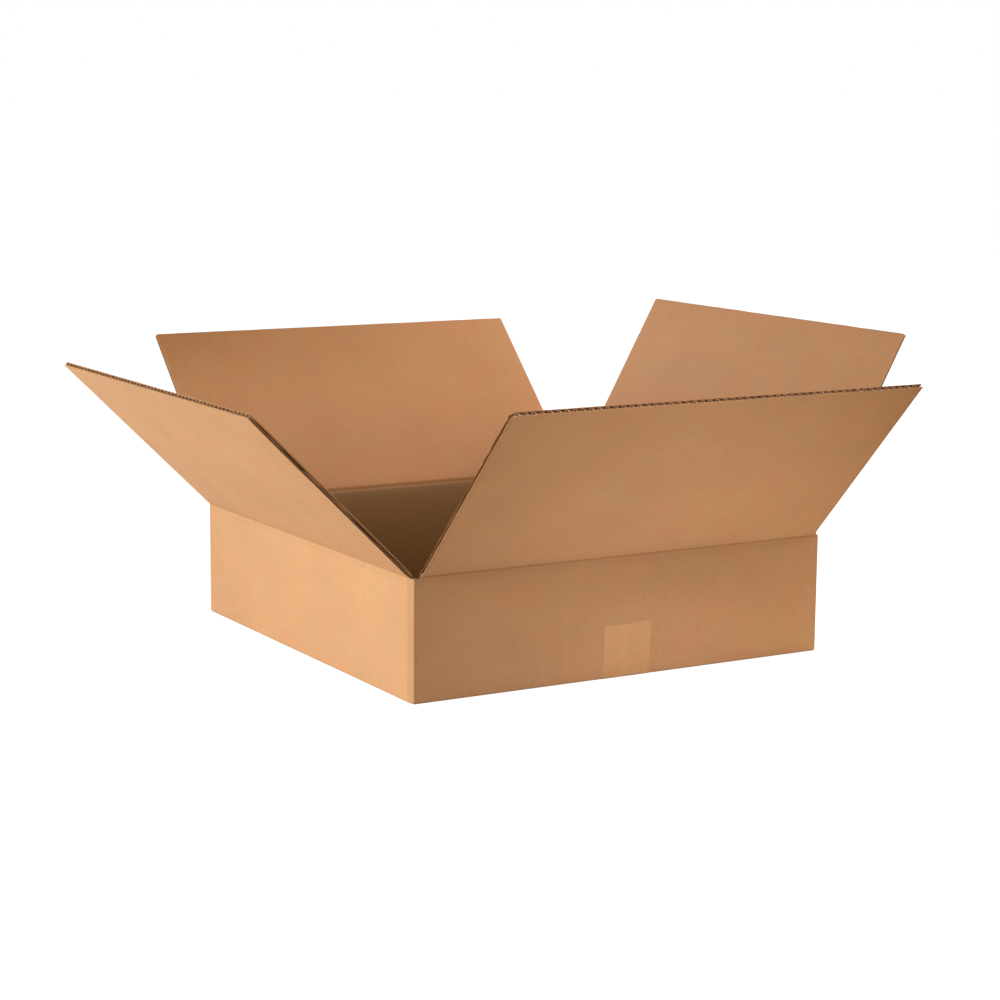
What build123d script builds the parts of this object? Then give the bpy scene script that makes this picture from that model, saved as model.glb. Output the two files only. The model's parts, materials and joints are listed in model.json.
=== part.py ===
from build123d import *
import os
from math import radians, tan

# A shallow square carton of single-wall corrugated board, standing open.
# Its walls and its closed, taped bottom are one folded and glued sheet. The
# four top flaps belong to the same sheet, and each turns about its crease.
# Millimetres. +X runs along the front wall to the right, +Y from the front
# wall to the back wall, +Z up. The origin is the centre of the underside.

# Inside of the carton
inside_width = 431.8
inside_length = 431.8
inside_depth = 101.6

# Board: two liners and a fluted core between them
board = 4.0
liner = 0.5
core_paper = 0.35
flute_pitch = 7.9
flute_crest = 1.6
flute_web = 0.5
flute_mouth_depth = 8.0
cut_edge_groove = 1.2

# Folds: the inside of each corner, and the outside of the bottom edges
inner_fold_radius = 2.0
bottom_radius = 3.0

# Gaps between one layer of board and the next
layer_gap = 0.3
crease_gap = 0.2
side_gap = 0.5
seam_gap = 1.0

# Lap that closes the sheet, glued inside the right end of the front wall
lap_width = 35.0
lap_taper = 8.0
lap_clearance = 1.5

# Slots between the top flaps: how far each flap's end stays from the inner
# face of the wall round the corner. They are uneven, as cut
front_slot_at_left = 4.5
front_slot_at_right = 0.5
left_slot_at_back = 0.5
left_slot_at_front = 1.5
back_slot_at_right = 1.0
back_slot_at_left = 5.0
right_slot_at_front = 2.0
right_slot_at_back = 1.0
# The same for the inner bottom flaps
bottom_slot = 4.0

# Lean of each open top flap, outwards from upright, in degrees
front_lean = 43.5
left_lean = 45.5
back_lean = 45.5
right_lean = 29.5
# The furthest lean, where a flap is folded back as far as its crease allows
fold_back = 120.0

# Tape over the bottom seam and up the front and back walls
tape_width = 50.8
tape_thickness = 0.2
tape_end = 51.0
# How far the middle of the tape lies to the right of the bottom seam
tape_offset = 4.0

# Sizes worked out from the ones above
width = inside_width + 2 * board
length = inside_length + 2 * board
fold_radius = inner_fold_radius + board
outer_layer_top = board
inner_layer_bottom = board + layer_gap
floor_top = inner_layer_bottom + board
crease_height = floor_top + inside_depth + board
inner_crease_bevel = board
outer_crease_bevel = board * tan(radians(fold_back / 2))
inner_flap_depth = (length - seam_gap) / 2
outer_flap_depth = (width - seam_gap) / 2 - board
# How far a cut runs past the faces that it opens
past = 1.0


def block(x, y, z):
    """Box between the given (low, high) pairs along X, Y and Z."""
    size = [high - low for low, high in (x, y, z)]
    centre = [(high + low) / 2 for low, high in (x, y, z)]
    return Pos(*centre) * Box(*size)


def profile_bar(points, x):
    """Closed outline of (Y, Z) points, carried along X from x[0] to x[1]."""
    outline = Polyline(*[(y, z) for y, z in points], close=True)
    face = Plane.YZ.offset(x[0]) * make_face(outline)
    return extrude(face, x[1] - x[0], dir=(1, 0, 0))


def flute_cells(span):
    """Plan outlines of the open flutes along a cut edge as long as span.

    The core is a wave with flat crests. Each cell is the space between the
    wave and one liner: wide on its own liner and a crest wide at the other.
    """
    narrow = flute_crest / 2
    wide = flute_pitch / 2 - flute_web - narrow
    count = int((span - 2 * (cut_edge_groove + flute_web)) / flute_pitch)
    outer_row = (liner, board - liner - core_paper)
    inner_row = (board - liner, liner + core_paper)
    cells = []
    for step in range(2 * count - 1):
        x = (step + 1 - count) * flute_pitch / 2
        near, far = outer_row if step % 2 == 0 else inner_row
        cell = [(x - wide, near), (x + wide, near), (x + narrow, far), (x - narrow, far)]
        cells.append(make_face(Polyline(*cell, close=True)))
    return cells


def upright_flap(root, depth, span):
    """Upright flap, its outer face at Y = 0 and its inner face at Y = board.

    root gives the heights at which the outer and the inner face start. The
    free edge shows the mouths of the flutes, and the two side edges, cut
    along the flutes, show the open channel between the liners.
    """
    outer_start, inner_start = root
    points = [(0, outer_start), (0, depth), (board, depth), (board, inner_start)]
    flap = profile_bar(points, (-span / 2, span / 2))
    mouths = extrude(Sketch() + flute_cells(span), flute_mouth_depth + past, dir=(0, 0, 1))
    flap -= Pos(0, 0, depth - flute_mouth_depth) * mouths
    core = (liner, board - liner)
    for side in (-1, 1):
        edge = side * span / 2
        channel = sorted((edge - side * cut_edge_groove, edge + side * past))
        flap -= block(channel, core, (-past, depth + past))
    return flap


def place_flap(flap, pivot, lean, half_depth, turn, shift):
    """Lean an upright flap out about its pivot and stand it on its wall.

    pivot is (Y, Z) from the wall's outer face and the crease height, shift
    moves the flap along its wall, and turn is the wall's heading in degrees,
    0 for the front wall.
    """
    y, z = pivot
    leaned = Pos(0, y, z) * Rot(X=lean) * Pos(0, -y, -z) * flap
    return Rot(Z=turn) * Pos(shift, -half_depth, crease_height) * leaned


def inner_flap(slots, lean, half_depth, wall, turn):
    """Flap that closes first. It turns about the crease in its outer liner."""
    span = wall - 2 * board - sum(slots)
    flap = upright_flap((crease_gap, crease_gap + inner_crease_bevel), inner_flap_depth, span)
    return place_flap(flap, (0, 0), lean, half_depth, turn, (slots[0] - slots[1]) / 2)


def outer_flap(slots, lean, half_depth, wall, turn):
    """Flap that closes on the inner ones. It turns about its inner liner."""
    span = wall - 2 * board - sum(slots)
    flap = upright_flap((layer_gap + outer_crease_bevel, layer_gap), layer_gap + outer_flap_depth, span)
    return place_flap(flap, (board, layer_gap), lean, half_depth, turn, (slots[0] - slots[1]) / 2)


def crease_cut(points, slots, half_depth, wall, turn):
    """Bevel along a wall's top, under one flap, that lets the flap turn."""
    low = -wall / 2 + board + slots[0] - side_gap / 2
    high = wall / 2 - board - slots[1] + side_gap / 2
    return Rot(Z=turn) * Pos(0, -half_depth, crease_height) * profile_bar(points, (low, high))


def walls():
    """Four walls as one sheet, folded at three corners and lapped at one."""
    outline = Rectangle(width, length)
    folded = outline.vertices().filter_by(lambda v: not (v.X > 0 and v.Y < 0))
    shell = extrude(fillet(folded, fold_radius), crease_height)
    shell = fillet(shell.edges().group_by(Axis.Z)[0], bottom_radius)
    hollow = Rectangle(inside_width, inside_length)
    folded = hollow.vertices().filter_by(lambda v: not (v.X > 0 and v.Y < 0))
    hollow = extrude(fillet(folded, inner_fold_radius), crease_height)
    return shell - Pos(0, 0, floor_top) * hollow


def bottom_slits():
    """Cuts that part the bottom into two outer and two inner flaps.

    The outer flaps hang on the left and right walls and lie lowest. The
    inner flaps hang on the front and back walls and lie on them.
    """
    x = (-inside_width / 2, inside_width / 2)
    y = (-inside_length / 2, inside_length / 2)
    low = (-past, outer_layer_top)
    high = (inner_layer_bottom, floor_top + past)
    seam = (-seam_gap / 2, seam_gap / 2)
    cuts = [
        block(x, y, (outer_layer_top, inner_layer_bottom)),
        block(seam, y, low),
        block(x, seam, high),
        block(x, (y[0], y[0] + side_gap), low),
        block(x, (y[1] - side_gap, y[1]), low),
        block((x[0], x[0] + bottom_slot), y, high),
        block((x[1] - bottom_slot, x[1]), y, high),
    ]
    return cuts


def lap():
    """Tab of the right wall, glued flat on the inside of the front wall."""
    right = inside_width / 2
    low = floor_top + lap_clearance
    high = crease_height - board - lap_clearance
    left = right - lap_width
    points = [(right, low), (right, high), (left, high - lap_taper), (left, low + lap_taper)]
    face = make_face(Polyline(*points, close=True))
    front = Plane(origin=(0, -inside_length / 2, 0), x_dir=(1, 0, 0), z_dir=(0, -1, 0))
    return extrude(front * face, board, dir=(0, 1, 0))


def lap_corner():
    """Cuts at the lapped corner, where the front wall's raw edge shows.

    The right wall folds in behind the front wall, which leaves a small
    hollow beside its rounded fold, and the raw edge is open along a flute.
    """
    right = width / 2
    front = -inside_length / 2
    height = (-past, crease_height + past)
    square = block((right - fold_radius, right + past), (front, front + fold_radius), height)
    fold = Pos(right - fold_radius, front + fold_radius, -past) * Circle(fold_radius)
    square -= extrude(fold, crease_height + 2 * past)
    groove = block((right - cut_edge_groove, right + past), (front - board + liner, front - liner), height)
    return [square, groove]


def tape():
    """Tape along the bottom seam, round both bottom folds and up the walls."""
    outer = Rectangle(length + 2 * tape_thickness, tape_end, align=(Align.CENTER, Align.MIN))
    outer = fillet(outer.vertices().group_by(Axis.Y)[0], bottom_radius + tape_thickness)
    inner = Pos(0, tape_thickness) * Rectangle(length, tape_end, align=(Align.CENTER, Align.MIN))
    inner = fillet(inner.vertices().group_by(Axis.Y)[0], bottom_radius)
    section = Plane.YZ.offset(tape_offset - tape_width / 2) * (outer - inner)
    return extrude(section, tape_width, dir=(1, 0, 0))


# Where each top flap stands: the slots at its left and right ends, as seen
# from outside the carton, its lean, how far its wall is from the middle, the
# wall's whole length and the wall's heading
front_place = ((front_slot_at_left, front_slot_at_right), front_lean, length / 2, width, 0)
right_place = ((right_slot_at_front, right_slot_at_back), right_lean, width / 2, length, 90)
back_place = ((back_slot_at_right, back_slot_at_left), back_lean, length / 2, width, 180)
left_place = ((left_slot_at_back, left_slot_at_front), left_lean, width / 2, length, -90)


def crease_cuts():
    """Bevels on the tops of the four walls."""
    reach = board + fold_radius
    inner_points = [(0, 0), (reach, 0), (reach, -reach)]
    outer_points = [(-past, past), (board, 0), (0, -outer_crease_bevel), (-past, -outer_crease_bevel)]
    cuts = []
    for slots, _, half_depth, wall, turn in (front_place, back_place):
        cuts.append(crease_cut(inner_points, slots, half_depth, wall, turn))
    for slots, _, half_depth, wall, turn in (left_place, right_place):
        cuts.append(crease_cut(outer_points, slots, half_depth, wall, turn))
    return cuts


def carton_body():
    """Walls, lap and closed bottom, pressed in by the tape's thickness."""
    body = walls() + lap()
    for cut in bottom_slits() + lap_corner() + crease_cuts():
        body -= cut
    return body - tape()


nodes = {
    "carton_body": carton_body(),
    "front_flap": inner_flap(*front_place),
    "left_flap": outer_flap(*left_place),
    "back_flap": inner_flap(*back_place),
    "right_flap": outer_flap(*right_place),
    "bottom_tape": tape(),
}

os.makedirs("parts", exist_ok=True)
for name, shape in nodes.items():
    export_step(shape, f"parts/{name}.step")
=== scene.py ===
import json
from collections import namedtuple
from math import cos, pi, radians, sin, tan

import bpy
import numpy as np
from mathutils import Matrix, Vector


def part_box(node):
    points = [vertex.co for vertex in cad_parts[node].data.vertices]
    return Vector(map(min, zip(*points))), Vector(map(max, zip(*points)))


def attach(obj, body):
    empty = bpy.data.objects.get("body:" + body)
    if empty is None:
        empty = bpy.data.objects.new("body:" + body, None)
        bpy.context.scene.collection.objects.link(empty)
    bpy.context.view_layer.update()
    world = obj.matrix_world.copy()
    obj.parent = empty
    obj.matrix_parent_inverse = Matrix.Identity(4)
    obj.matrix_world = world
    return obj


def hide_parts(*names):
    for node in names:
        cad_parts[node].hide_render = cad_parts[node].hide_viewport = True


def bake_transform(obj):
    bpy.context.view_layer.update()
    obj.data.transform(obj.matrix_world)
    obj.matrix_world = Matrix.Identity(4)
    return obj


bl_info = {
    "name": "Open Corrugated Carton",
    "version": (1, 0, 0),
    "blender": (4, 5, 0),
    "location": "View3D > Sidebar > Carton",
    "description": "Builds a shallow corrugated carton with hinged top flaps round its packed solids",
    "category": "Object",
}

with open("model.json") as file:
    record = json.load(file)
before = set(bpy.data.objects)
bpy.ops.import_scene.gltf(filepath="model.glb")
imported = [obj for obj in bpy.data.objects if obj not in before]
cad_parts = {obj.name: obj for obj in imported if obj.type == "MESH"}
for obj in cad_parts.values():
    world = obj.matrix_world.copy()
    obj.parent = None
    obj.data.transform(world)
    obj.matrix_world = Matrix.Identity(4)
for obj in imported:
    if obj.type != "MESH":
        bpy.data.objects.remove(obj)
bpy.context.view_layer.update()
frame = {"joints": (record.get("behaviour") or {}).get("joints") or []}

# Places that the frame gives, in metres. Each side of the carton has a
# reading direction that runs left to right as seen from outside.
joints = {joint["child"]: joint for joint in frame["joints"]}
body_low, body_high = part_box("carton_body")
wall_reach = body_high.y
crease_height = body_high.z
board_default = joints["left_flap"]["pos_m"][0] - body_low.x
side_names = ("front", "left", "back", "right")
sheet_map = "sheet"
light_and_shade_layer = "tone"


class CartonSizes(bpy.types.PropertyGroup):
    """Sizes of the board, its folds and its cut edges."""

    board: bpy.props.FloatProperty(
        name="Board", description="Thickness of the board", default=board_default, unit="LENGTH", precision=5
    )
    liner: bpy.props.FloatProperty(
        name="Liner", description="Thickness of each of the two liners", default=0.0005,
        unit="LENGTH", precision=5,
    )
    fluting: bpy.props.FloatProperty(
        name="Fluting", description="Thickness of the waved paper", default=0.00035,
        unit="LENGTH", precision=5,
    )
    flute_pitch: bpy.props.FloatProperty(
        name="Flute pitch", description="Length of one wave", default=0.0079, unit="LENGTH", precision=5
    )
    crease_radius: bpy.props.FloatProperty(
        name="Crease radius", description="Bend at a top flap's crease, at the middle of the board",
        default=0.0016, unit="LENGTH", precision=5,
    )
    outer_dent: bpy.props.FloatProperty(
        name="Outer dent", description="Depth of the score line on the outside", default=0.0004,
        unit="LENGTH", precision=5,
    )
    inner_dent: bpy.props.FloatProperty(
        name="Inner dent", description="Depth of the score line on the inside", default=0.0007,
        unit="LENGTH", precision=5,
    )
    crease_margin: bpy.props.FloatProperty(
        name="Crease margin", description="Height of wall that belongs to a top flap's piece", default=0.008,
        unit="LENGTH", precision=5,
    )
    slot_drop: bpy.props.FloatProperty(
        name="Slot drop", description="How far the slots are cut past the creases", default=0.0015,
        unit="LENGTH", precision=5,
    )
    fold_outside: bpy.props.FloatProperty(
        name="Corner, outside", description="Outer radius of a wall corner", default=0.006, unit="LENGTH",
        precision=5,
    )
    fold_inside: bpy.props.FloatProperty(
        name="Corner, inside", description="Inner radius of a wall corner", default=0.002, unit="LENGTH",
        precision=5,
    )
    bottom_radius: bpy.props.FloatProperty(
        name="Bottom radius", description="Outer radius along the bottom edges", default=0.003, unit="LENGTH",
        precision=5,
    )
    tape_film: bpy.props.FloatProperty(
        name="Tape", description="Thickness of the tape", default=0.00018, unit="LENGTH", precision=5
    )
    tape_slant: bpy.props.FloatProperty(
        name="Tape slant", description="How far the tape's front end turns to the right",
        default=radians(2.0), subtype="ANGLE",
    )


class CartonColours(bpy.types.PropertyGroup):
    """Colours of the papers and of the tape."""

    outside: bpy.props.FloatVectorProperty(
        name="Outside", description="Kraft liner outside", default=(0.465, 0.268, 0.131),
        subtype="COLOR", size=3,
    )
    inside: bpy.props.FloatVectorProperty(
        name="Inside", description="Kraft liner inside", default=(0.415, 0.228, 0.113),
        subtype="COLOR", size=3,
    )
    # Painted shade: the same inner liner, greyer below the creases where the carton's inside is shaded
    lining: bpy.props.FloatVectorProperty(
        name="Lining", description="Inner liner below the creases, which is greyer",
        default=(0.343, 0.226, 0.112), subtype="COLOR", size=3,
    )
    fluting: bpy.props.FloatVectorProperty(
        name="Fluting", description="Waved paper in the board", default=(0.36, 0.2, 0.096),
        subtype="COLOR", size=3,
    )
    tape: bpy.props.FloatVectorProperty(
        name="Tape", description="Packing tape", default=(0.61, 0.337, 0.152), subtype="COLOR", size=3
    )
    floor: bpy.props.FloatVectorProperty(
        name="Floor", description="Studio floor", default=(0.86, 0.86, 0.86), subtype="COLOR", size=3
    )


class CartonStudio(bpy.types.PropertyGroup):
    """Camera and lights."""

    lens: bpy.props.FloatProperty(
        name="Lens", description="Focal length on a sensor 36 mm wide", default=87.723, unit="CAMERA"
    )
    key_power: bpy.props.FloatProperty(
        name="Key light", description="Power of the soft light at the left", default=131.0, unit="POWER"
    )
    back_power: bpy.props.FloatProperty(
        name="Back light", description="Power of the warm light behind at the right", default=88.0,
        unit="POWER",
    )
    front_power: bpy.props.FloatProperty(
        name="Front light", description="Power of the light in front at the right", default=10.0, unit="POWER"
    )
    high_power: bpy.props.FloatProperty(
        name="High light", description="Power of the warm light high in front", default=17.0, unit="POWER"
    )
    sky: bpy.props.FloatProperty(
        name="Surrounding light", description="Strength of the light from all around", default=0.12
    )
    floor_glow: bpy.props.FloatProperty(
        name="Floor glow", description="Light that comes up through the white floor", default=0.05
    )


class Term:
    """A value inside a material, so that a finish can be written as sums and products."""

    def __init__(self, finish, socket):
        self.finish = finish
        self.socket = socket

    def other(self, name):
        """Another output of the same node."""
        return Term(self.finish, self.socket.node.outputs[name])

    def math(self, operation, *values):
        inputs = dict(enumerate(values))
        return self.finish.node("ShaderNodeMath", {"operation": operation}, inputs)

    def __add__(self, value):
        return self.math("ADD", self, value)

    def __radd__(self, value):
        return self.math("ADD", value, self)

    def __sub__(self, value):
        return self.math("SUBTRACT", self, value)

    def __rsub__(self, value):
        return self.math("SUBTRACT", value, self)

    def __mul__(self, value):
        return self.math("MULTIPLY", self, value)

    def __rmul__(self, value):
        return self.math("MULTIPLY", value, self)


class Finish:
    """A material under construction on one Principled shader."""

    def __init__(self, name, roughness, specular):
        self.material = bpy.data.materials.new(name)
        self.material.use_nodes = True
        self.tree = self.material.node_tree
        self.shader = self.tree.nodes["Principled BSDF"]
        self.feed(self.shader.inputs["Roughness"], roughness)
        self.feed(self.shader.inputs["Specular IOR Level"], specular)

    def feed(self, socket, value):
        """Link a term to a socket, or set the socket's own value."""
        if isinstance(value, Term):
            self.tree.links.new(value.socket, socket)
        else:
            socket.default_value = value

    def node(self, kind, settings, inputs, output=0):
        """New node: its settings first, then the values or links of its sockets."""
        made = self.tree.nodes.new(kind)
        for name, value in settings.items():
            setattr(made, name, value)
        for name, value in inputs.items():
            self.feed(made.inputs[name], value)
        return Term(self, made.outputs[output])

    def noise(self, place, scale, detail=2.0, roughness=0.5):
        """Cloudy pattern from 0 to 1, about 0.5 on average."""
        inputs = {"Vector": place, "Scale": scale, "Detail": detail, "Roughness": roughness}
        return self.node("ShaderNodeTexNoise", {"noise_dimensions": "2D"}, inputs)

    def ramp(self, value, low, high):
        """0 below low, 1 above high and smooth between them."""
        inputs = {"Value": value, "From Min": low, "From Max": high}
        return self.node("ShaderNodeMapRange", {"interpolation_type": "SMOOTHSTEP"}, inputs)

    def stretch(self, place, factors):
        """A place or a colour with each of its three parts multiplied."""
        return self.node("ShaderNodeVectorMath", {"operation": "MULTIPLY"}, {0: place, 1: factors})

    def scale(self, colour, amount):
        """A colour made lighter or darker."""
        return self.node("ShaderNodeVectorMath", {"operation": "SCALE"}, {0: colour, 3: amount})

    def mix(self, share, first, second):
        """From the first colour to the second."""
        settings = {"data_type": "RGBA", "clamp_factor": True}
        return self.node("ShaderNodeMix", settings, {0: share, 6: first, 7: second}, output=2)

    def tinted(self, share, colour, tint):
        """A colour that goes to one tinted by the given factors."""
        second = tuple(part * factor for part, factor in zip(colour, tint))
        return self.mix(share, (*colour, 1.0), (*second, 1.0))

    def bump(self, height, distance):
        """Raise the surface by a height from 0 to 1 times a distance in metres."""
        normal = self.node("ShaderNodeBump", {}, {"Strength": 1.0, "Distance": distance, "Height": height})
        self.feed(self.shader.inputs["Normal"], normal)

    def colour(self, colour):
        self.feed(self.shader.inputs["Base Color"], colour)


def sizes():
    return bpy.context.scene.carton_sizes


def colours():
    return bpy.context.scene.carton_colours


def found_or_made(name, make):
    """A material by its name, made on first use."""
    return bpy.data.materials.get(name) or make(name)


# How the redder patches of the liners differ from the yellower ones
red_tint = (1.025, 0.97, 0.97)
# Powers of the painted light and shade in red, green and blue: where it paints shade it is also redder
light_and_shade_powers = (0.85, 1.0, 1.4)
Paper = namedtuple("Paper", "sheet tone relief redness wear")
# How strongly the mottling, the cloudy formation, the fibres and the specks show in the tone
mottle_depth, cloud_depth, fibre_depth, speck_depth = 0.14, 0.12, 0.16, 0.16
# How much the flutes show through the outer and the inner liner, in tone and in relief
outer_flute_tone, outer_flute_relief = 0.005, 0.12
inner_flute_tone, inner_flute_relief = 0.006, 0.14
# Height of the liners' relief
liner_bump = 0.00008
# How far under the crease the inner liner's painted shade colour starts to turn to the flap's colour
shaded_lining_fade = 0.002
# How bright the floor looks to the camera, and how much of that is plain white
floor_white, plain_share = 1.24, 0.8


def paper_pattern(finish):
    """The parts of a kraft paper.

    sheet is the place on the flat sheet. tone, round 1, adds broad mottling, a
    cloudy formation, short fibres that lie mostly across the flutes, and
    sparse dark specks. relief and redness go from 0 to 1. The last field is
    the painted light and shade that the piece carries, as a colour: red,
    green and blue each have it raised to a power of their own.
    """
    sheet = finish.node("ShaderNodeUVMap", {"uv_map": sheet_map}, {})
    mottle = finish.noise(sheet, scale=14.0, detail=3.0)
    cloud = finish.noise(sheet, scale=160.0, detail=4.0, roughness=0.6)
    fibre = finish.noise(finish.stretch(sheet, (420.0, 2100.0, 1.0)), scale=1.0, detail=3.0, roughness=0.6)
    speck = finish.ramp(finish.noise(sheet, scale=620.0, detail=1.0), low=0.73, high=0.8)
    tone = 1.0 + (mottle - 0.5) * mottle_depth + (cloud - 0.5) * cloud_depth
    tone = tone + (fibre - 0.5) * fibre_depth - speck * speck_depth
    redness = finish.ramp(finish.noise(sheet, scale=26.0, detail=2.0), low=0.36, high=0.64)
    # The piece's tone layer: painted light and shade
    carried = finish.node("ShaderNodeAttribute", {"attribute_name": light_and_shade_layer}, {}, output="Fac")
    parts = {place: carried.math("POWER", carried, power) for place, power in enumerate(light_and_shade_powers)}
    wear = finish.node("ShaderNodeCombineXYZ", {}, parts)
    return Paper(sheet, tone, fibre * 0.6 + cloud * 0.4, redness, wear)


def flute_lines(finish, paper):
    """The place on the sheet, and a line for each flute: cos(2 pi * place / pitch)."""
    place = finish.node("ShaderNodeSeparateXYZ", {}, {0: paper.sheet})
    turns = place * (2 * pi / sizes().flute_pitch)
    return place, turns.math("COSINE", turns)


def kraft_outside(name):
    """Kraft liner, with the flutes showing faintly through it, and the piece's painted light and shade, which
    darkens the score lines.
    """
    finish = Finish(name, roughness=0.82, specular=0.25)
    paper = paper_pattern(finish)
    _, flutes = flute_lines(finish, paper)
    colour = finish.tinted(paper.redness, tuple(colours().outside), red_tint)
    finish.colour(finish.scale(finish.stretch(colour, paper.wear), paper.tone - flutes * outer_flute_tone))
    finish.bump(paper.relief * 0.25 + flutes * outer_flute_relief, liner_bump)
    return finish.material


def kraft_inside(name):
    """The inner liner, a little darker and rougher than the outer one."""
    finish = Finish(name, roughness=0.86, specular=0.2)
    paper = paper_pattern(finish)
    place, flutes = flute_lines(finish, paper)
    # Below the creases the inner liner turns to the greyer lining colour, painted shade of the carton's
    # inside
    on_flap = finish.ramp(place.other("Y"), crease_height - shaded_lining_fade, crease_height)
    colour = finish.tinted(paper.redness, tuple(colours().inside), red_tint)
    colour = finish.mix(on_flap, (*colours().lining, 1.0), colour)
    finish.colour(finish.scale(finish.stretch(colour, paper.wear), paper.tone + flutes * inner_flute_tone))
    finish.bump(paper.relief * 0.3 - flutes * inner_flute_relief, liner_bump)
    return finish.material


def fluting_paper(name):
    """The waved paper, seen only at the cut edges."""
    finish = Finish(name, roughness=0.9, specular=0.15)
    paper = paper_pattern(finish)
    colour = finish.stretch(tuple(colours().fluting), paper.wear)
    finish.colour(finish.scale(colour, paper.tone))
    finish.bump(paper.relief, distance=0.00004)
    return finish.material


def tape_film(name):
    """Satin tan film, with fine creases and the flutes just showing through."""
    finish = Finish(name, roughness=0.34, specular=0.5)
    finish.feed(finish.shader.inputs["Coat Weight"], 0.25)
    finish.feed(finish.shader.inputs["Coat Roughness"], 0.2)
    sheet = finish.node("ShaderNodeUVMap", {"uv_map": sheet_map}, {})
    crease = finish.noise(finish.stretch(sheet, (60.0, 160.0, 1.0)), scale=1.0, detail=4.0, roughness=0.6)
    patch = finish.noise(sheet, scale=55.0, detail=2.0)
    tone = 1.0 + (patch - 0.5) * 0.12 + (crease - 0.5) * 0.1
    finish.colour(finish.scale(tuple(colours().tape), tone))
    finish.bump(crease, distance=0.00025)
    return finish.material


def floor_finish(name):
    """Matt white with a very faint unevenness, lit from beneath like a light table."""
    finish = Finish(name, roughness=0.9, specular=0.1)
    finish.feed(finish.shader.inputs["Emission Color"], (1.0, 1.0, 1.0, 1.0))
    finish.feed(finish.shader.inputs["Emission Strength"], bpy.context.scene.carton_studio.floor_glow)
    place = finish.node("ShaderNodeTexCoord", {}, {}, output="Object")
    tone = 1.0 + (finish.noise(place, scale=3.0, detail=2.0) - 0.5) * 0.02
    finish.colour(finish.scale(tuple(colours().floor), tone))
    # To the camera the floor is mostly plain white, so that shadows on it stay faint
    seen = finish.node("ShaderNodeLightPath", {}, {}, output="Is Camera Ray")
    white = finish.node("ShaderNodeEmission", {}, {"Strength": floor_white})
    lit = Term(finish, finish.shader.outputs[0])
    both = finish.node("ShaderNodeMixShader", {}, {0: seen * plain_share, 1: lit, 2: white})
    finish.feed(finish.tree.nodes["Material Output"].inputs["Surface"], both)
    return finish.material


# Edges between faces that meet at more than this look sharp
sharp_angle = radians(35.0)


class Pile:
    """Shells that are gathered into one mesh."""

    def __init__(self):
        self.points = []
        self.faces = []
        self.places = []
        self.tones = []
        self.finishes = []
        self.count = 0

    def add(self, near, far, sheet, finish, tone=1.0):
        """Add the closed shell between two point grids.

        Columns run left to right and rows run up, both as seen from the near
        side. The near grid faces out, the far grid faces back, and a rim of
        quads joins their four edges. sheet holds each point's place on the
        flat sheet, finish is the number of the shell's material, and tone is
        the painted light and shade at each point, 1 for plain paper.
        """
        rows, columns = near.shape[:2]
        total = rows * columns
        number = np.arange(total).reshape(rows, columns)
        square = [number[:-1, :-1], number[:-1, 1:], number[1:, 1:], number[1:, :-1]]
        front = np.stack(square, axis=-1).reshape(-1, 4)
        loop = np.concatenate([number[0, :-1], number[:-1, -1], number[-1, :0:-1], number[:0:-1, 0]])
        ahead = np.roll(loop, -1)
        rim = np.stack([loop, loop + total, ahead + total, ahead], axis=-1)
        faces = np.concatenate([front, front[:, ::-1] + total, rim])
        self.points += [near.reshape(-1, 3), far.reshape(-1, 3)]
        self.places += [sheet.reshape(-1, 2)] * 2
        self.tones += [np.broadcast_to(tone, (rows, columns)).reshape(-1)] * 2
        self.faces.append(faces + self.count)
        self.finishes.append(np.full(len(faces), finish))
        self.count += 2 * total

    def build(self, name, materials):
        """Make the mesh object, with its sheet coordinates as a UV map."""
        points = np.concatenate(self.points)
        faces = np.concatenate(self.faces)
        places = np.concatenate(self.places)
        mesh = bpy.data.meshes.new(name)
        mesh.from_pydata(points.tolist(), [], faces.tolist())
        layer = mesh.uv_layers.new(name=sheet_map)
        layer.data.foreach_set("uv", places[faces.reshape(-1)].astype(np.float32).reshape(-1))
        tones = mesh.attributes.new(light_and_shade_layer, "FLOAT", "POINT")
        tones.data.foreach_set("value", np.concatenate(self.tones).astype(np.float32))
        mesh.polygons.foreach_set("material_index", np.concatenate(self.finishes).astype(np.int32))
        mesh.polygons.foreach_set("use_smooth", np.ones(len(faces), dtype=bool))
        mesh.set_sharp_from_angle(angle=sharp_angle)
        for material in materials:
            mesh.materials.append(material)
        mesh.update()
        made = bpy.data.objects.new(name, mesh)
        bpy.context.scene.collection.objects.link(made)
        return made


def board_materials():
    return [
        found_or_made("kraft_outside", kraft_outside),
        found_or_made("kraft_inside", kraft_inside),
        found_or_made("fluting_paper", fluting_paper),
    ]


outside_finish, inside_finish, fluting_finish = range(3)
# The inner liner and the fluting read their patterns from other parts of the sheet
inside_shift, fluting_shift = 5.0, 9.0
# How far the fluting's crests go into the liners, so that no gap shows there
fluting_overlap = 0.00001
# Columns of the fluting in each wave. None is narrower than a share of the others
columns_per_wave = 8
least_step = 0.2
# Straight run kept on both sides of a bend, and the points of its arc
bend_margin = 0.0005
arc_steps = 7


def sheet_grid(across, along, shift=0.0):
    """Places on the flat sheet, in metres, moved sideways for another layer."""
    return np.stack([across + shift, along], axis=-1)


def add_outer_liner(pile, place, across, along, start, tone=1.0):
    """Outer liner: the grid at depth 0 and the same grid one liner deeper."""
    liner = sizes().liner
    sheet = sheet_grid(across + start, along)
    pile.add(place(across, along, 0.0), place(across, along, liner), sheet, outside_finish, tone)


def add_inner_liner(pile, place, across, along, start, tone=1.0):
    """Inner liner: the last liner's thickness of the board."""
    board = sizes().board
    sheet = sheet_grid(across + start, along, inside_shift)
    near = place(across, along, board - sizes().liner)
    pile.add(near, place(across, along, board), sheet, inside_finish, tone)


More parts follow.
